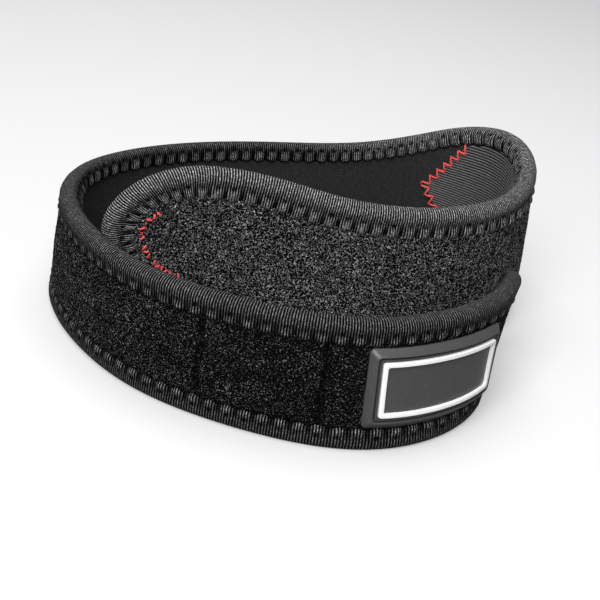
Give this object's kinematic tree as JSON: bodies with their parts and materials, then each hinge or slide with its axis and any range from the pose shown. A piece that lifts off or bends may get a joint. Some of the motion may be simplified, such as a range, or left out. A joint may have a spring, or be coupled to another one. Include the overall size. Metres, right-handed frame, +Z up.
{
  "type": "patella strap",
  "caption": "Padded knee strap wound into a loop, with a bound edge, a looped pile face, a hook patch on its inside and a rubber label.",
  "frame": {"origin": "middle of the bounding box's bottom, on the floor that the lower turn stands on", "axes": "+Z up, the label on the -Y side, +X to the right when the label is looked at"},
  "size_m": [0.1564, 0.1486, 0.056],
  "materials": {
    "lining": "matte stretch jersey over foam, dark grey",
    "pile": "unbroken loop pile, black with light fibre glints",
    "binding": "ribbed knitted tape, grey black with a soft sheen",
    "hook": "hook tape in fine lengthwise rows, dark grey",
    "label": "moulded soft rubber, satin",
    "frame_line": "white moulded rubber line, satin"
  },
  "bodies": {
    "root": {"foam_band": "lining", "pile_facing": "pile", "edge_binding": "binding", "hook_patch": "hook", "label_plate": "label", "label_frame": "frame_line"}
  },
  "joints": []
}
